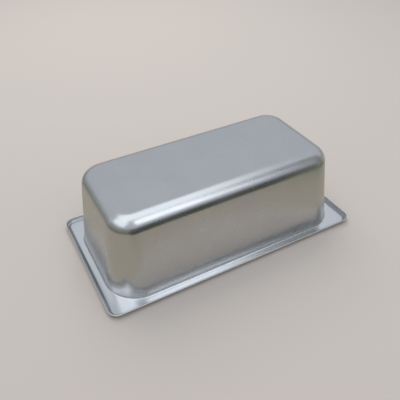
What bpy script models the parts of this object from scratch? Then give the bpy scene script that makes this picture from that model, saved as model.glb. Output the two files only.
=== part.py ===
"""A one-third gastronorm pan, 100 mm deep, drawn from one sheet of stainless steel.

It stands upside down, with its mouth towards -Z. The flange's sealing face lies on the XY plane, and the
base is on top. The origin is the centre of the mouth, and X runs along the pan's length. Sizes are in
metres.

The pan is one section, carried round a rectangle with round corners. Points of the section are given as
(inset, z), where inset is the distance in from the flange's outline.
"""

import math

import bmesh
import bpy

# The sheet, which is as thick in the flange as in the base
SHEET = 0.0008

# The outline and the depth, which the gastronorm sizes fix
FLANGE_LENGTH = 0.325
FLANGE_WIDTH = 0.176
DEPTH = 0.100

# The flange, and the lip that is folded up from its edge, away from the sealing face
FLANGE_CORNER_RADIUS = 0.012
FLANGE_FLAT = 0.0053
FOLD_INNER_RADIUS = 0.0048
LIP_STRAIGHT = 0.0002

# The drawn body, measured on the outside of the pan
FLARE_RADIUS = 0.0016
DRAFT = math.radians(7.4)
BASE_EDGE_RADIUS = 0.018
BASE_CORNER_RADIUS = 0.010

# Where the section's curves stand
FOLD_CENTRE = SHEET + FOLD_INNER_RADIUS
LIP_EDGE_Z = FOLD_CENTRE + LIP_STRAIGHT
FLARE_CENTRE = FOLD_CENTRE + FLANGE_FLAT
FLARE_CENTRE_Z = SHEET + FLARE_RADIUS
BASE_EDGE_CENTRE_Z = DEPTH - BASE_EDGE_RADIUS
WALL_HEIGHT = BASE_EDGE_CENTRE_Z - FLARE_CENTRE_Z + (BASE_EDGE_RADIUS + FLARE_RADIUS) * math.sin(DRAFT)
BASE_INSET = (
    FLARE_CENTRE
    + (FLARE_RADIUS + BASE_EDGE_RADIUS) * math.cos(DRAFT)
    + WALL_HEIGHT * math.tan(DRAFT)
)

# How many straight steps stand for each curve
CORNER_STEPS = 10
LIP_EDGE_STEPS = 4
FOLD_STEPS = 4
FLARE_STEPS = 4
BASE_EDGE_STEPS = 7

STEEL_COLOUR = (0.62, 0.62, 0.61, 1.0)
STEEL_ROUGHNESS = 0.30
SHARP_FROM = math.radians(40)


def clear_scene():
    """Removes whatever the scene holds."""
    for found in list(bpy.data.objects):
        bpy.data.objects.remove(found)


def satin_steel():
    """Stainless steel with the satin skin that drawing and belt polishing leave."""
    material = bpy.data.materials.new("satin_stainless_steel")
    material.use_nodes = True
    shader = material.node_tree.nodes["Principled BSDF"]
    shader.inputs["Base Color"].default_value = STEEL_COLOUR
    shader.inputs["Metallic"].default_value = 1.0
    shader.inputs["Roughness"].default_value = STEEL_ROUGHNESS
    return material


def arc(inset, z, radius, start, end, steps):
    """Section points on an arc round (inset, z), from the angle start to the angle end."""
    angles = [start + (end - start) * step / steps for step in range(steps + 1)]
    return [(inset + radius * math.cos(angle), z + radius * math.sin(angle)) for angle in angles]


def flange_skin(depth):
    """Section points on the fold between lip and flange, at this depth in from the sheet's upper skin."""
    return arc(FOLD_CENTRE, FOLD_CENTRE, FOLD_INNER_RADIUS + depth, math.pi, math.pi * 1.5, FOLD_STEPS)


def body_skin(depth):
    """Section points on the flare and on the base's edge, at this depth in from the outer skin."""
    flare_radius = FLARE_RADIUS + depth
    edge_radius = BASE_EDGE_RADIUS - depth
    flare = arc(FLARE_CENTRE, FLARE_CENTRE_Z, flare_radius, -math.pi / 2, -DRAFT, FLARE_STEPS)
    edge = arc(BASE_INSET, BASE_EDGE_CENTRE_Z, edge_radius, math.pi - DRAFT, math.pi / 2, BASE_EDGE_STEPS)
    return flare + edge


def lip_edge():
    """Section points over the lip's rounded edge, between its two skins."""
    return arc(SHEET / 2, LIP_EDGE_Z, SHEET / 2, math.pi, 0, LIP_EDGE_STEPS)


def ring(inset, z, corner):
    """The points of a rectangle with round corners, anticlockwise, drawn in from the flange's outline."""
    reach_x = FLANGE_LENGTH / 2 - inset - corner
    reach_y = FLANGE_WIDTH / 2 - inset - corner
    points = []
    for quarter, (side_x, side_y) in enumerate(((1, 1), (-1, 1), (-1, -1), (1, -1))):
        start = quarter * math.pi / 2
        end = start + math.pi / 2
        turn = arc(side_x * reach_x, side_y * reach_y, corner, start, end, CORNER_STEPS)
        points += [(x, y, z) for x, y in turn]
    return points


def flange_rings(section):
    """Rings of the lip and the flange, whose corners turn about the same centre."""
    return [ring(inset, z, FLANGE_CORNER_RADIUS - inset) for inset, z in section]


def body_rings(section):
    """Rings of the body, whose corners turn about the base corner's centre."""
    return [ring(inset, z, BASE_CORNER_RADIUS + BASE_INSET - inset) for inset, z in section]


def pan_rings():
    """All rings, from the base down the food side, round the lip and up the outer skin to the base."""
    inside = flange_rings(flange_skin(SHEET)) + body_rings(body_skin(SHEET))
    outside = flange_rings(flange_skin(0.0)) + body_rings(body_skin(0.0))
    return inside[::-1] + flange_rings(lip_edge()) + outside


def make_pan():
    """The pan: its rings joined into one closed skin, with the base closed on both sides."""
    shape = bmesh.new()
    rings = [[shape.verts.new(point) for point in points] for points in pan_rings()]
    for one, other in zip(rings, rings[1:]):
        for here in range(len(one)):
            after = (here + 1) % len(one)
            shape.faces.new((one[here], one[after], other[after], other[here]))
    shape.faces.new(reversed(rings[0]))
    shape.faces.new(rings[-1])

    mesh = bpy.data.meshes.new("pan")
    shape.to_mesh(mesh)
    shape.free()
    mesh.shade_smooth()
    mesh.set_sharp_from_angle(angle=SHARP_FROM)
    mesh.materials.append(satin_steel())

    pan = bpy.data.objects.new("pan", mesh)
    bpy.context.scene.collection.objects.link(pan)
    normals = pan.modifiers.new("even_shading", "WEIGHTED_NORMAL")
    normals.keep_sharp = True
    return pan


clear_scene()
make_pan()
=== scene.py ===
"""Looks of a one-third gastronorm pan in satin stainless steel, for Blender 4.5.

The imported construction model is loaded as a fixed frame. The pan's one sheet is built again inside that
frame, by Geometry Nodes and with a finer surface, and is dressed in its finish. A floor, lamps, flags and a
camera stand round it. Sizes are in metres, and Z is up.
"""

import logging
import math
from dataclasses import dataclass
from enum import Enum
from typing import Any

import bpy
from mathutils import Matrix, Vector


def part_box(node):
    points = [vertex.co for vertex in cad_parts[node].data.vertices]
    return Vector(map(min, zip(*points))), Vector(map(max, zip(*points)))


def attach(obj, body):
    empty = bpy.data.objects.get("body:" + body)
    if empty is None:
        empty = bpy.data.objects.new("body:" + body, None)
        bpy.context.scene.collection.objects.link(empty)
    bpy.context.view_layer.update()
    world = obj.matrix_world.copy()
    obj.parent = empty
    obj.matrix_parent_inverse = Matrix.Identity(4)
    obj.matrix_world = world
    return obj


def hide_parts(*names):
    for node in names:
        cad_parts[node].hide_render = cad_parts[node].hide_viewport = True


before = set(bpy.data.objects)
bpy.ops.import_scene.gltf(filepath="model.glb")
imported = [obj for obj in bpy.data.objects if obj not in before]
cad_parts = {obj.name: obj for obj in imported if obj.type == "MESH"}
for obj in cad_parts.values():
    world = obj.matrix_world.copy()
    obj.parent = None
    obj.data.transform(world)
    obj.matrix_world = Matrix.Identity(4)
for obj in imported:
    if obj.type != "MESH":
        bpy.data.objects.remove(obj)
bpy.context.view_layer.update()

MM = 0.001
PAN_NODE = "pan"
PAN_BODY = "root"

log = logging.getLogger("pan")


def linear(code: str) -> tuple[float, float, float, float]:
    """Turns an sRGB hex colour into the linear colour that Blender's sockets take.

    Args:
        code: the colour as "#RRGGBB".

    Returns:
        Red, green and blue from 0 to 1, and an alpha of 1.
    """
    parts = [int(code[start:start + 2], 16) / 255 for start in (1, 3, 5)]
    red, green, blue = (p / 12.92 if p <= 0.04045 else ((p + 0.055) / 1.055) ** 2.4 for p in parts)
    return red, green, blue, 1.0


def add(
    tree: bpy.types.NodeTree, kind: str, inputs: dict[Any, Any] | None = None, **settings: Any
) -> bpy.types.Node:
    """Adds a node to a shader or geometry tree.

    Args:
        tree: the tree that gets the node.
        kind: the node's Blender type name.
        inputs: what each input gets, by the input's name or its number among those in use. It is a value,
            an output socket, or a node, which stands for its first output in use.
        settings: the node's own settings, set before its inputs.

    Returns:
        The new node.
    """
    node = tree.nodes.new(kind)
    for name, value in settings.items():
        setattr(node, name, value)
    in_use = [socket for socket in node.inputs if socket.enabled]
    for key, value in (inputs or {}).items():
        socket = in_use[key] if isinstance(key, int) else next(s for s in in_use if s.name == key)
        if isinstance(value, bpy.types.Node):
            value = next(output for output in value.outputs if output.enabled)
        if isinstance(value, bpy.types.NodeSocket):
            tree.links.new(value, socket)
        else:
            socket.default_value = value
    return node


def toward(azimuth: float, elevation: float) -> Vector:
    """Unit vector from the pan towards a place in the studio.

    Args:
        azimuth: degrees round from the pan's near long side, -Y, towards +X.
        elevation: degrees above the floor.

    Returns:
        The direction.
    """
    turn, lift = math.radians(azimuth), math.radians(elevation)
    return Vector((math.sin(turn) * math.cos(lift), -math.cos(turn) * math.cos(lift), math.sin(lift)))


class Layer(Enum):
    """Attributes that the pan's surface carries for its finish."""

    DRAWN = "drawn"
    CORNER = "corner"
    # Where the flange's painted highlight and smoother finish go
    FLANGE_HIGHLIGHT_AND_GLOSS = "flange"
    # Where the fold's painted shade goes
    FOLD_SHADE = "fold"
    # Where the lip's edge is matt and gets a painted highlight
    EDGE = "edge"


@dataclass
class SheetSection:
    """The section of the drawn sheet, as the corners that a press tool has before they are rounded.

    A point of the section is (inset, z): how far it lies in from the flange's outline, and its height.
    """

    depth: float
    sheet: float = 0.8 * MM
    flange_corner: float = 12 * MM
    flange_flat: float = 5.3 * MM
    fold: float = 4.8 * MM
    lip_straight: float = 0.2 * MM
    flare: float = 1.6 * MM
    draft: float = math.radians(7.4)
    base_edge: float = 18 * MM
    base_corner: float = 10 * MM

    @property
    def fold_centre(self) -> float:
        """Inset and height of the centre that the lip's fold turns about."""
        return self.sheet + self.fold

    @property
    def flare_centre(self) -> float:
        """Inset of the centre that the flare turns about, where the flange's flat ends."""
        return self.fold_centre + self.flange_flat

    @property
    def base_inset(self) -> float:
        """Inset of the base's flat, where the base's rounded edge ends.

        Returns:
            The inset, which follows from the draft and from the two radii that the wall runs between.
        """
        wall = self.depth - self.base_edge - self.sheet - self.flare
        wall += (self.base_edge + self.flare) * math.sin(self.draft)
        radii = (self.flare + self.base_edge) * math.cos(self.draft)
        return self.flare_centre + radii + wall * math.tan(self.draft)

    def skin(self, depth: float) -> list[tuple[float, float, float]]:
        """Corners of one skin of the sheet, from the lip to the base.

        Args:
            depth: how deep in the sheet the skin lies, from 0 on the outside to the sheet on the food side.

        Returns:
            Inset, height and bend radius of each corner.
        """
        lift = self.sheet - depth
        turn = math.tan((math.pi / 2 - self.draft) / 2)
        return [
            (lift, self.fold_centre + self.lip_straight + self.sheet / 2, self.sheet / 2),
            (lift, lift, self.fold + depth),
            (self.flare_centre + (self.flare + depth) * turn, lift, self.flare + depth),
            (self.base_inset - (self.base_edge - depth) * turn, self.depth - depth, self.base_edge - depth),
            (self.base_inset + self.base_corner, self.depth - depth, 0.0),
        ]

    def curve(self) -> bpy.types.Object:
        """Draws the whole section as one open line, from the base's food side round the lip to its outside.

        Returns:
            A curve object in the XZ plane, with each corner's bend radius as the point's radius.
        """
        corners = self.skin(self.sheet)[::-1] + self.skin(0.0)
        data = bpy.data.curves.new("pan_section", "CURVE")
        data.dimensions = "3D"
        line = data.splines.new("POLY")
        line.points.add(len(corners) - 1)
        for point, (inset, height, bend) in zip(line.points, corners):
            point.co = (inset, 0.0, height, 1.0)
            point.radius = bend
        drawn = bpy.data.objects.new("pan_section", data)
        bpy.context.scene.collection.objects.link(drawn)
        return drawn


@dataclass(frozen=True)
class SatinSteel:
    """Chromium-nickel stainless steel, deep drawn and then polished to an even satin.

    The eye gets a grey metal with soft, wide highlights and no mirror image: the fine grain blurs what it
    reflects, and the walls and corners keep faint lines in the direction that the press drew them. The
    flange, hardly stretched, is smoother, and is painted lighter: a painted highlight that brightens its
    reflections. A dark line in the lip's fold is painted shade. The lip's trimmed edge is deburred and
    matt,
    and painted lighter: a painted highlight.

    The draw lines of a real pan lie a few tenths of a millimetre apart, too fine to show, so they are drawn
    coarser here.
    """

    name: str = "deep_drawn_satin_stainless_steel"
    bright: str = "#CDCDCC"
    dull: str = "#C8C8C8"
    # Painted highlight: the flange is lighter so that it reflects brighter
    flange: str = "#E6E7E8"
    # Painted shade: a dark line in the lip's fold
    fold: str = "#757677"
    # Painted highlight: the lip's trimmed edge is lighter than the steel
    edge: str = "#ECEDEE"
    roughness: float = 0.27
    roughness_spread: float = 0.04
    flange_roughness: float = 0.15
    edge_roughness: float = 0.45
    cloud: float = 45 * MM
    cloud_range: tuple[float, float] = (0.25, 0.75)
    draw_line: float = 2.2 * MM
    draw_line_run: float = 120 * MM
    draw_line_depth: float = 0.002 * MM

    def material(self) -> bpy.types.Material:
        """Makes the finish.

        Returns:
            The material, which reads Object coordinates and the surface's own layers.
        """
        steel = bpy.data.materials.new(self.name)
        steel.use_nodes = True
        tree = steel.node_tree
        shader = tree.nodes["Principled BSDF"]
        shader.inputs["Metallic"].default_value = 1.0

        place = add(tree, "ShaderNodeTexCoord").outputs["Object"]
        drawn = add(tree, "ShaderNodeAttribute", attribute_name=Layer.DRAWN.value).outputs["Vector"]
        # The flange and the lip's edge carry a painted highlight, the fold a painted shade
        corner, flange, fold, edge = (
            add(tree, "ShaderNodeAttribute", attribute_name=layer.value).outputs["Fac"]
            for layer in (Layer.CORNER, Layer.FLANGE_HIGHLIGHT_AND_GLOSS, Layer.FOLD_SHADE, Layer.EDGE)
        )

        clouds = add(tree, "ShaderNodeTexNoise", {"Vector": place, "Scale": 1 / self.cloud})
        tint = {"Factor": clouds, "A": linear(self.dull), "B": linear(self.bright)}
        colour = add(tree, "ShaderNodeMix", tint, data_type="RGBA")
        # Painted highlight on the flange and the lip's edge, painted shade in the fold
        for layer, shade in ((flange, self.flange), (fold, self.fold), (edge, self.edge)):
            tint = {"Factor": layer, "A": colour, "B": linear(shade)}
            colour = add(tree, "ShaderNodeMix", tint, data_type="RGBA")
        rough = {
            "Value": clouds,
            "From Min": self.cloud_range[0],
            "From Max": self.cloud_range[1],
            "To Min": self.roughness - self.roughness_spread,
            "To Max": self.roughness + self.roughness_spread,
        }
        rough = add(tree, "ShaderNodeMapRange", rough)
        for layer, level in ((flange, self.flange_roughness), (edge, self.edge_roughness)):
            rough = add(tree, "ShaderNodeMix", {"Factor": layer, "A": rough, "B": level})

        stretch = (1.0, 1.0, self.draw_line / self.draw_line_run)
        along = add(tree, "ShaderNodeVectorMath", {0: drawn, 1: stretch}, operation="MULTIPLY")
        lines = {"Vector": along, "Scale": 1 / self.draw_line, "Detail": 1.0}
        lines = add(tree, "ShaderNodeTexNoise", lines)
        lines = add(tree, "ShaderNodeMath", {0: lines, 1: corner}, operation="MULTIPLY")
        drawn_bump = add(tree, "ShaderNodeBump", {"Height": lines, "Distance": self.draw_line_depth})

        tree.links.new(next(o for o in colour.outputs if o.enabled), shader.inputs["Base Color"])
        tree.links.new(rough.outputs[0], shader.inputs["Roughness"])
        tree.links.new(drawn_bump.outputs[0], shader.inputs["Normal"])
        return steel


@dataclass
class DrawnPan:
    """The pan's one sheet: base, rounded base edge, drafted walls, flare, flange and upturned lip."""

    section: SheetSection
    steel: SatinSteel
    length: float
    width: float
    wall_step: float = 3 * MM
    bend_step: float = 0.9 * MM
    least_bend_points: int = 5
    corner_points: int = 24
    side_step: float = 4.5 * MM
    weld: float = 0.002 * MM
    # Where the fold's painted shade lies and how far it reaches
    fold_shade_line: float = 3.9 * MM
    fold_shade_reach: float = 1.8 * MM
    # How far the lip edge's painted highlight reaches
    edge_highlight_reach: float = 2.4 * MM

    def inputs(self) -> dict[str, tuple[str, Any]]:
        """Lists the named inputs of the tree.

        Returns:
            Each input's name, with its socket type and its value.
        """
        section = self.section
        body_corner = section.base_inset + section.base_corner
        straight = [side - 2 * body_corner for side in (self.length, self.width)]
        return {
            "Section": ("NodeSocketObject", section.curve()),
            "Steel": ("NodeSocketMaterial", self.steel.material()),
            "Length": ("NodeSocketFloat", self.length),
            "Width": ("NodeSocketFloat", self.width),
            "Depth": ("NodeSocketFloat", section.depth),
            "Sheet": ("NodeSocketFloat", section.sheet),
            "Flange Corner": ("NodeSocketFloat", section.flange_corner),
            "Body Corner": ("NodeSocketFloat", body_corner),
            "Line Corner": ("NodeSocketFloat", section.base_edge + section.base_corner),
            "Flange Starts": ("NodeSocketFloat", section.fold_centre),
            "Flange Ends": ("NodeSocketFloat", section.flare_centre),
            "Flange Middle": ("NodeSocketFloat", (section.fold_centre + section.flare_centre) / 2),
            "Flange Reach": ("NodeSocketFloat", section.flange_flat / 2 + self.weld),
            # The fold's painted shade
            "Fold Shade Line": ("NodeSocketFloat", self.fold_shade_line),
            "Fold Shade Reach": ("NodeSocketFloat", self.fold_shade_reach),
            "Edge Highlight Reach": ("NodeSocketFloat", self.edge_highlight_reach),
            "Wall Step": ("NodeSocketFloat", self.wall_step),
            "Bend Step": ("NodeSocketFloat", self.bend_step),
            "Least Bend Points": ("NodeSocketInt", self.least_bend_points),
            "Corner Points": ("NodeSocketInt", self.corner_points),
            "Long Side Cuts": ("NodeSocketInt", round(straight[0] / self.side_step) - 1),
            "Short Side Cuts": ("NodeSocketInt", round(straight[1] / self.side_step) - 1),
            "Weld": ("NodeSocketFloat", self.weld),
        }

    def step_length(self, tree: bpy.types.NodeTree) -> bpy.types.NodeSocket:
        """Adds the distance from each point of a curve to the next.

        Args:
            tree: the tree that gets the nodes.

        Returns:
            The distance, as a field.
        """
        here = add(tree, "GeometryNodeInputPosition")
        index = add(tree, "GeometryNodeInputIndex")
        after = add(tree, "GeometryNodeOffsetPointInCurve", {"Point Index": index, "Offset": 1})
        there = {"Value": here, "Index": after.outputs["Point Index"]}
        there = add(tree, "GeometryNodeFieldAtIndex", there, data_type="FLOAT_VECTOR")
        apart = add(tree, "ShaderNodeVectorMath", {0: here, 1: there}, operation="DISTANCE")
        return apart.outputs["Value"]

    def rounded_section(self, tree: bpy.types.NodeTree, given: bpy.types.NodeOutputs) -> bpy.types.Node:
        """Adds the section, with its corners rounded and its long straights cut into steps.

        Args:
            tree: the tree that gets the nodes.
            given: the outputs of the tree's Group Input node.

        Returns:
            The node that gives the section's curve.
        """
        drawn = add(tree, "GeometryNodeObjectInfo", {"Object": given["Section"]}).outputs["Geometry"]
        radius = add(tree, "GeometryNodeInputRadius")
        steps = add(tree, "ShaderNodeMath", {0: radius, 1: given["Bend Step"]}, operation="DIVIDE")
        count = add(tree, "ShaderNodeMath", {0: steps, 1: given["Least Bend Points"]}, operation="ADD")
        bent = {"Curve": drawn, "Radius": radius, "Count": count}
        bent = add(tree, "GeometryNodeFilletCurve", bent, mode="POLY")
        cuts = {0: self.step_length(tree), 1: given["Wall Step"]}
        cuts = add(tree, "ShaderNodeMath", cuts, operation="DIVIDE")
        return add(tree, "GeometryNodeSubdivideCurve", {"Curve": bent, "Cuts": cuts})

    def unit_ring(self, tree: bpy.types.NodeTree, given: bpy.types.NodeOutputs) -> bpy.types.Node:
        """Adds the ring that the section is carried round: a square of side 4 with corners of radius 1.

        A ring's point, held to within 1 of the middle each way, says where along the straights it stands.
        What is left over is its direction out of the corner.

        Args:
            tree: the tree that gets the nodes.
            given: the outputs of the tree's Group Input node.

        Returns:
            The node that gives the ring's curve.
        """
        side, corner = 4.0, 1.0
        square = add(tree, "GeometryNodeCurvePrimitiveQuadrilateral", {"Width": side, "Height": side})
        ring = {"Curve": square, "Count": given["Corner Points"], "Radius": corner}
        ring = add(tree, "GeometryNodeFilletCurve", ring, mode="POLY")
        place = add(tree, "ShaderNodeSeparateXYZ", {0: add(tree, "GeometryNodeInputPosition")})
        across = add(tree, "ShaderNodeMath", {0: place.outputs["X"]}, operation="ABSOLUTE")
        along = add(tree, "ShaderNodeMath", {0: place.outputs["Y"]}, operation="ABSOLUTE")
        is_long = add(tree, "FunctionNodeCompare", {0: along, 1: across}, operation="GREATER_THAN")
        cuts = {"Switch": is_long, "True": given["Long Side Cuts"], "False": given["Short Side Cuts"]}
        cuts = add(tree, "GeometryNodeSwitch", cuts, input_type="INT")
        half_straight = side / 2 - corner
        is_straight = {0: self.step_length(tree), 1: half_straight}
        is_straight = add(tree, "FunctionNodeCompare", is_straight, operation="GREATER_THAN")
        cuts = add(tree, "GeometryNodeSwitch", {"Switch": is_straight, "True": cuts}, input_type="INT")
        return add(tree, "GeometryNodeSubdivideCurve", {"Curve": ring, "Cuts": cuts})

    def carried(
        self,
        tree: bpy.types.NodeTree,
        given: bpy.types.NodeOutputs,
        section: bpy.types.Node,
        ring: bpy.types.Node,
    ) -> bpy.types.Node:
        """Adds the section carried round the ring, as one grid of faces with its layers.

        Args:
            tree: the tree that gets the nodes.
            given: the outputs of the tree's Group Input node.
            section: the node that gives the section's curve.
            ring: the node that gives the ring's curve.

        Returns:
            The node that gives the mesh, open only where the base goes.
        """
        rows = add(tree, "GeometryNodeAttributeDomainSize", {0: section}, component="CURVE")
        columns = add(tree, "GeometryNodeAttributeDomainSize", {0: ring}, component="CURVE")
        seam = add(tree, "FunctionNodeIntegerMath", {0: columns, 1: 1}, operation="ADD")
        grid = add(tree, "GeometryNodeMeshGrid", {"Vertices X": rows, "Vertices Y": seam})
        index = add(tree, "GeometryNodeInputIndex")
        row = add(tree, "FunctionNodeIntegerMath", {0: index, 1: seam}, operation="DIVIDE")
        column = add(tree, "FunctionNodeIntegerMath", {0: index, 1: seam}, operation="MODULO")
        column = add(tree, "FunctionNodeIntegerMath", {0: column, 1: columns}, operation="MODULO")

        position = add(tree, "GeometryNodeInputPosition")
        along = add(tree, "GeometryNodeSplineParameter").outputs
        point = {"Geometry": section, "Value": position, "Index": row}
        point = add(tree, "GeometryNodeSampleIndex", point, data_type="FLOAT_VECTOR")
        point = add(tree, "ShaderNodeSeparateXYZ", {0: point})
        inset, height = point.outputs["X"], point.outputs["Z"]
        run, share = (
            add(tree, "GeometryNodeSampleIndex", {"Geometry": section, "Value": along[name], "Index": row})
            for name in ("Length", "Factor")
        )
        around = {"Geometry": ring, "Value": position, "Index": column}
        around = add(tree, "GeometryNodeSampleIndex", around, data_type="FLOAT_VECTOR")

        held = add(tree, "ShaderNodeVectorMath", {0: around, 1: (1.0, 1.0, 0.0)}, operation="MINIMUM")
        held = add(tree, "ShaderNodeVectorMath", {0: held, 1: (-1.0, -1.0, 0.0)}, operation="MAXIMUM")
        outward = add(tree, "ShaderNodeVectorMath", {0: around, 1: held}, operation="SUBTRACT")

        # The corner's centre moves in from the flange's to the body's across the flange's flat
        corner = {
            "Value": inset,
            "From Min": given["Flange Starts"],
            "From Max": given["Flange Ends"],
            "To Min": given["Flange Corner"],
            "To Max": given["Body Corner"],
        }
        corner = add(tree, "ShaderNodeMapRange", corner)
        radius = add(tree, "ShaderNodeMath", {0: corner, 1: inset}, operation="SUBTRACT")
        half = add(tree, "ShaderNodeCombineXYZ", {0: given["Length"], 1: given["Width"]})
        half = add(tree, "ShaderNodeVectorMath", {0: half, "Scale": 0.5}, operation="SCALE")
        back = add(tree, "ShaderNodeCombineXYZ", {0: corner, 1: corner})
        reach = add(tree, "ShaderNodeVectorMath", {0: half, 1: back}, operation="SUBTRACT")
        straight = add(tree, "ShaderNodeVectorMath", {0: held, 1: reach}, operation="MULTIPLY")
        turned = add(tree, "ShaderNodeVectorMath", {0: outward, "Scale": radius}, operation="SCALE")
        flat = add(tree, "ShaderNodeVectorMath", {0: straight, 1: turned}, operation="ADD")
        lifted = add(tree, "ShaderNodeCombineXYZ", {2: height})
        place = add(tree, "ShaderNodeVectorMath", {0: flat, 1: lifted}, operation="ADD")
        shell = add(tree, "GeometryNodeSetPosition", {"Geometry": grid, "Position": place})

        # The lines' layer has the same ring at every height, so that a line never narrows or splits
        level = add(tree, "ShaderNodeVectorMath", {0: held, 1: half}, operation="MULTIPLY")
        level_turn = {0: outward, "Scale": given["Line Corner"]}
        level_turn = add(tree, "ShaderNodeVectorMath", level_turn, operation="SCALE")
        level = add(tree, "ShaderNodeVectorMath", {0: level, 1: level_turn}, operation="ADD")
        depth_run = add(tree, "ShaderNodeCombineXYZ", {2: run})
        drawn = add(tree, "ShaderNodeVectorMath", {0: level, 1: depth_run}, operation="ADD")
        shell = {"Geometry": shell, "Name": Layer.DRAWN.value, "Value": drawn}
        shell = add(tree, "GeometryNodeStoreNamedAttribute", shell, data_type="FLOAT_VECTOR")

        # Twice the product of a unit direction's parts is 0 on the straights and 1 in a corner's middle
        turn = add(tree, "ShaderNodeSeparateXYZ", {0: outward})
        in_corner = {0: turn.outputs["X"], 1: turn.outputs["Y"]}
        in_corner = add(tree, "ShaderNodeMath", in_corner, operation="MULTIPLY")
        in_corner = add(tree, "ShaderNodeMath", {0: in_corner}, operation="ABSOLUTE")
        in_corner = add(tree, "ShaderNodeMath", {0: in_corner, 1: 2.0}, operation="MULTIPLY")
        shell = {"Geometry": shell, "Name": Layer.CORNER.value, "Value": in_corner}
        shell = add(tree, "GeometryNodeStoreNamedAttribute", shell)

        # The flange's flat, which gets a painted highlight and a smoother finish
        on_flange = {0: inset, 1: given["Flange Middle"], "Epsilon": given["Flange Reach"]}
        on_flange = add(tree, "FunctionNodeCompare", on_flange, operation="EQUAL")
        shell = {"Geometry": shell, "Name": Layer.FLANGE_HIGHLIGHT_AND_GLOSS.value, "Value": on_flange}
        shell = add(tree, "GeometryNodeStoreNamedAttribute", shell)

        # The section's second half is its outer skin, on which the fold gets a painted shade and the lip's
        # edge a painted highlight
        outer = add(tree, "FunctionNodeCompare", {0: share, 1: 0.5}, operation="GREATER_THAN")
        off_line = add(tree, "ShaderNodeMath", {0: inset, 1: given["Fold Shade Line"]}, operation="SUBTRACT")
        off_line = add(tree, "ShaderNodeMath", {0: off_line}, operation="ABSOLUTE")
        in_fold_shade = {"Value": off_line, "From Min": given["Fold Shade Reach"], "From Max": 0.0}
        in_fold_shade = add(tree, "ShaderNodeMapRange", in_fold_shade)
        # The lip's edge, matt and with a painted highlight
        on_edge_highlight = {"Value": inset, "From Min": given["Edge Highlight Reach"], "From Max": 0.0}
        on_edge_highlight = add(tree, "ShaderNodeMapRange", on_edge_highlight)
        for layer, strength in ((Layer.FOLD_SHADE, in_fold_shade), (Layer.EDGE, on_edge_highlight)):
            strength = add(tree, "ShaderNodeMath", {0: strength, 1: outer}, operation="MULTIPLY")
            shell = {"Geometry": shell, "Name": layer.value, "Value": strength}
            shell = add(tree, "GeometryNodeStoreNamedAttribute", shell)
        return add(tree, "GeometryNodeFlipFaces", {0: shell})

    def base(self, tree: bpy.types.NodeTree, given: bpy.types.NodeOutputs) -> list[bpy.types.Node]:
        """Adds the two skins of the base's flat, whose edge points meet those of the carried section.

        Args:
            tree: the tree that gets the nodes.
            given: the outputs of the tree's Group Input node.

        Returns:
            The nodes that give the outer skin and the food-side skin.
        """
        sides = []
        for side in ("Length", "Width"):
            back = add(tree, "ShaderNodeMath", {0: given["Body Corner"], 1: 2.0}, operation="MULTIPLY")
            sides.append(add(tree, "ShaderNodeMath", {0: given[side], 1: back}, operation="SUBTRACT"))
        points = [
            add(tree, "FunctionNodeIntegerMath", {0: given[cuts], 1: 2}, operation="ADD")
            for cuts in ("Long Side Cuts", "Short Side Cuts")
        ]
        flat = {"Size X": sides[0], "Size Y": sides[1], "Vertices X": points[0], "Vertices Y": points[1]}
        flat = add(tree, "GeometryNodeMeshGrid", flat)
        under = add(tree, "ShaderNodeMath", {0: given["Depth"], 1: given["Sheet"]}, operation="SUBTRACT")
        skins = []
        for height in (given["Depth"], under):
            lift = add(tree, "ShaderNodeCombineXYZ", {2: height})
            skins.append(add(tree, "GeometryNodeTransform", {"Geometry": flat, "Translation": lift}))
        skins[1] = add(tree, "GeometryNodeFlipFaces", {0: skins[1]})
        return skins

    def tree(self, values: dict[str, tuple[str, Any]]) -> bpy.types.NodeTree:
        """Builds the whole geometry tree.

        Args:
            values: the tree's named inputs, each with its socket type and its value.

        Returns:
            The tree, which ends in real geometry with its material.
        """
        tree = bpy.data.node_groups.new("drawn_pan", "GeometryNodeTree")
        for name, (kind, _) in values.items():
            tree.interface.new_socket(name, in_out="INPUT", socket_type=kind)
        tree.interface.new_socket("Geometry", in_out="OUTPUT", socket_type="NodeSocketGeometry")
        given = add(tree, "NodeGroupInput").outputs
        shell = self.carried(tree, given, self.rounded_section(tree, given), self.unit_ring(tree, given))
        joined = add(tree, "GeometryNodeJoinGeometry")
        for part in (shell, *self.base(tree, given)):
            tree.links.new(part.outputs[0], joined.inputs[0])
        welded = add(tree, "GeometryNodeMergeByDistance", {"Geometry": joined, "Distance": given["Weld"]})
        smooth = add(tree, "GeometryNodeSetShadeSmooth", {"Geometry": welded, "Shade Smooth": True})
        real = add(tree, "GeometryNodeRealizeInstances", {"Geometry": smooth})
        dressed = add(tree, "GeometryNodeSetMaterial", {"Geometry": real, "Material": given["Steel"]})
        add(tree, "NodeGroupOutput", {0: dressed})
        return tree

    def build(self) -> bpy.types.Object:
        """Makes the pan as one plain mesh.

        Returns:
            The pan's object, at the origin.
        """
        values = self.inputs()
        tree = self.tree(values)
        source = bpy.data.objects.new("pan_tree", bpy.data.meshes.new("pan_tree"))
        bpy.context.scene.collection.objects.link(source)
        modifier = source.modifiers.new("drawn_pan", "NODES")
        modifier.node_group = tree
        for item in tree.interface.items_tree:
            if item.in_out == "INPUT":
                modifier[item.identifier] = values[item.name][1]
        evaluated = source.evaluated_get(bpy.context.evaluated_depsgraph_get())
        mesh = bpy.data.meshes.new_from_object(evaluated, depsgraph=bpy.context.evaluated_depsgraph_get())
        source.modifiers.remove(modifier)
        bpy.data.objects.remove(source)
        bpy.data.objects.remove(values["Section"][1])
        mesh.name = "drawn_pan"
        pan = bpy.data.objects.new("drawn_pan", mesh)
        bpy.context.scene.collection.objects.link(pan)
        return pan


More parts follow.
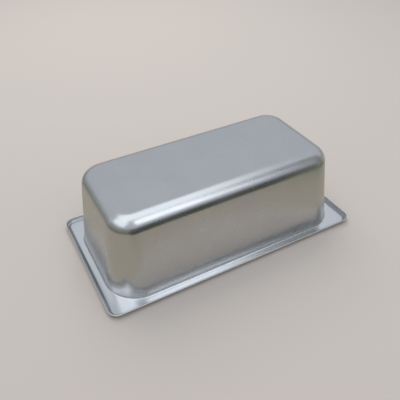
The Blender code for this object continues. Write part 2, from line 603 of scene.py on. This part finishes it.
@dataclass
class Lamp:
    """A soft lamp: a bright rectangle that hangs in the studio and faces the pan.

    Its direction is azimuth and elevation in degrees, and its size is width and height.
    """

    name: str
    direction: tuple[float, float]
    distance: float
    size: tuple[float, float]
    radiance: float
    colour: str = "#EEF5FF"
    hidden_from: tuple[str, ...] = ("camera",)

    def build(self) -> bpy.types.Object:
        """Makes the lamp, whose radiance of 1 shows as white in a mirror.

        Returns:
            The lamp's object.
        """
        data = bpy.data.lights.new(self.name, "AREA")
        data.shape = "RECTANGLE"
        data.size, data.size_y = self.size
        data.energy = self.radiance * math.pi * data.size * data.size_y
        data.color = linear(self.colour)[:3]
        lamp = bpy.data.objects.new(self.name, data)
        place = toward(*self.direction) * self.distance
        lamp.matrix_world = Matrix.Translation(place) @ place.to_track_quat("Z", "Y").to_matrix().to_4x4()
        for ray in self.hidden_from:
            setattr(lamp, "visible_" + ray, False)
        bpy.context.scene.collection.objects.link(lamp)
        return lamp


@dataclass
class Flag:
    """A plain sheet that glows with its colour and curves round the pan, on the floor or hung upright, seen
    only in the pan's steel: a painted reflection.

    Its edges are given as the azimuths between which it runs, and each edge as its distance from the
    pan's middle and its height.
    """

    name: str
    azimuths: tuple[float, float]
    near_edge: tuple[float, float]
    far_edge: tuple[float, float]
    colour: str
    steps: int = 12

    def build(self) -> bpy.types.Object:
        """Makes the glowing sheet, as a strip of flat faces between its two edges.

        Returns:
            The cloth's object.
        """
        start, end = self.azimuths
        points = []
        for step in range(self.steps + 1):
            way = toward(start + (end - start) * step / self.steps, 0)
            for distance, height in (self.near_edge, self.far_edge):
                points.append(way * distance + Vector((0, 0, height)))
        faces = [(i, i + 1, i + 3, i + 2) for i in range(0, len(points) - 2, 2)]
        mesh = bpy.data.meshes.new(self.name)
        mesh.from_pydata(points, [], faces)
        # The sheet glows with its colour: a painted reflection, seen only in the steel
        cloth = bpy.data.materials.new(self.name + "_cloth")
        cloth.use_nodes = True
        tree = cloth.node_tree
        tree.nodes.remove(tree.nodes["Principled BSDF"])
        glow = add(tree, "ShaderNodeEmission", {"Color": linear(self.colour)})
        tree.links.new(glow.outputs[0], tree.nodes["Material Output"].inputs["Surface"])
        mesh.materials.append(cloth)
        flag = bpy.data.objects.new(self.name, mesh)
        for kind in ("camera", "diffuse", "transmission", "volume_scatter", "shadow"):
            setattr(flag, "visible_" + kind, False)
        bpy.context.scene.collection.objects.link(flag)
        return flag


@dataclass
class Floor:
    """A plain painted floor, a hair below the pan's sealing face.

    The paint is dead matt, so that the eye gets an even pale ground with the pan's soft shadow on it.
    """

    colour: str = "#C7BDB4"
    roughness: float = 1.0
    gloss: float = 0.0
    size: float = 12.0
    gap: float = 0.1 * MM

    def build(self) -> bpy.types.Object:
        """Makes the floor.

        Returns:
            The floor's object.
        """
        half = self.size / 2
        mesh = bpy.data.meshes.new("floor")
        corners = [(-half, -half), (half, -half), (half, half), (-half, half)]
        mesh.from_pydata([(x, y, -self.gap) for x, y in corners], [], [(0, 1, 2, 3)])
        paint = bpy.data.materials.new("pale_matt_floor")
        paint.use_nodes = True
        shader = paint.node_tree.nodes["Principled BSDF"]
        shader.inputs["Base Color"].default_value = linear(self.colour)
        shader.inputs["Roughness"].default_value = self.roughness
        shader.inputs["Specular IOR Level"].default_value = self.gloss
        mesh.materials.append(paint)
        floor = bpy.data.objects.new("floor", mesh)
        bpy.context.scene.collection.objects.link(floor)
        return floor


@dataclass
class Camera:
    """The camera at the photograph's viewing angle, with angles in radians and its lens in millimetres."""

    place: tuple[float, float, float] = (-0.2179, -0.3974, 0.4056)
    yaw: float = -0.483
    pitch: float = 0.682
    roll: float = -0.021
    lens: float = 42.19
    sensor: float = 36.0

    def build(self) -> bpy.types.Object:
        """Makes the camera and gives it to the scene.

        Returns:
            The camera's object.
        """
        data = bpy.data.cameras.new("camera")
        data.sensor_width = self.sensor
        data.lens = self.lens
        camera = bpy.data.objects.new("camera", data)
        aim = Matrix.Rotation(self.yaw, 4, "Z") @ Matrix.Rotation(math.pi / 2 - self.pitch, 4, "X")
        camera.matrix_world = Matrix.Translation(self.place) @ aim @ Matrix.Rotation(self.roll, 4, "Z")
        bpy.context.scene.collection.objects.link(camera)
        bpy.context.scene.camera = camera
        return camera


@dataclass
class Studio:
    """Floor, camera, world, lamps and flags."""

    world_colour: str = "#CCD3DB"
    world_strength: float = 0.94

    def light_world(self) -> None:
        """Gives the world its plain pale light."""
        world = bpy.data.worlds.new("studio")
        world.use_nodes = True
        light = world.node_tree.nodes["Background"]
        light.inputs["Color"].default_value = linear(self.world_colour)
        light.inputs["Strength"].default_value = self.world_strength
        bpy.context.scene.world = world

    def lamps(self) -> list[Lamp]:
        """Lists the soft lamps.

        Returns:
            One overhead, two for the steel's highlights and two that light the floor.
        """
        steel_only = {"hidden_from": ("camera", "diffuse")}
        floor_only = {"hidden_from": ("camera", "glossy"), "colour": "#FFFFFF"}
        return [
            Lamp("overhead_lamp", (180, 84.5), distance=1.5, size=(1.45, 1.2), radiance=0.9),
            Lamp("left_lamp", (-80, 49), distance=2.0, size=(1.8, 1.25), radiance=0.85, **steel_only),
            Lamp("right_lamp", (21, 52), distance=2.0, size=(0.88, 1.05), radiance=1.4, **steel_only),
            Lamp("back_lamp", (170, 50), distance=1.6, size=(1.2, 1.0), radiance=2.4, **floor_only),
            Lamp("front_lamp", (10, 55), distance=1.8, size=(1.2, 1.0), radiance=0.9, **floor_only),
        ]

    def flags(self) -> list[Flag]:
        """Lists the glowing sheets, painted reflections whose edges stand on a few circles round the pan
        and at a few heights.

        Returns:
            The pale one close round the pan, the dark ones in front and the mid-grey ones elsewhere.
        """
        beside, near, apart, side, far = 0.185, 0.31, 0.42, 1.5, 3.0
        under, floor, back_hem, hem, side_hem = 0.3 * MM, 0.5 * MM, 0.75, 1.1, 2.6
        return [
            # The pale ring is a painted reflection of the floor round the pan; the darker ones are painted
            # reflections of darker surroundings
            Flag("near_floor_flag", (-180, 180), (beside, under), (apart, under), "#B3ADA0", steps=48),
            Flag("front_floor_flag", (-38, 36), (near, floor), (far, floor), "#3E4434"),
            Flag("right_floor_flag", (36, 80), (near, floor), (far, floor), "#808274"),
            Flag("left_floor_flag", (-110, -38), (apart, floor), (far, floor), "#717468"),
            Flag("back_left_floor_flag", (-165, -110), (apart, floor), (far, floor), "#8A8D86"),
            Flag("front_flag", (4, 38), (far, 0.0), (far, hem), "#454B49"),
            Flag("front_middle_flag", (-26, 4), (far, 0.0), (far, hem), "#5E6461"),
            Flag("front_left_flag", (-60, -26), (far, 0.0), (far, hem), "#8E938E"),
            Flag("left_flag", (-110, -60), (far, 0.0), (far, hem), "#959A93"),
            Flag("right_flag", (38, 80), (side, 0.0), (side, side_hem), "#8E9294"),
            Flag("back_flag", (80, 250), (far, 0.0), (far, back_hem), "#A3A8AB"),
        ]

    def build(self) -> None:
        """Sets the whole studio up."""
        Camera().build()
        Floor().build()
        self.light_world()
        for item in (*self.lamps(), *self.flags()):
            item.build()
            log.info("stands in the studio: %s", item.name)
        bpy.context.scene.view_settings.view_transform = "Standard"


def main() -> None:
    """Builds the studio and the pan, and ties the pan to the frame."""
    logging.basicConfig(level=logging.INFO, format="%(name)s: %(message)s")
    Studio().build()

    low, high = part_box(PAN_NODE)
    size = high - low
    pan = DrawnPan(SheetSection(depth=size.z), SatinSteel(), length=size.x, width=size.y).build()
    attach(pan, PAN_BODY)
    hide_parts(PAN_NODE)
    log.info("built %s: %d points, %d faces", pan.name, len(pan.data.vertices), len(pan.data.polygons))


if __name__ == "__main__":
    main()
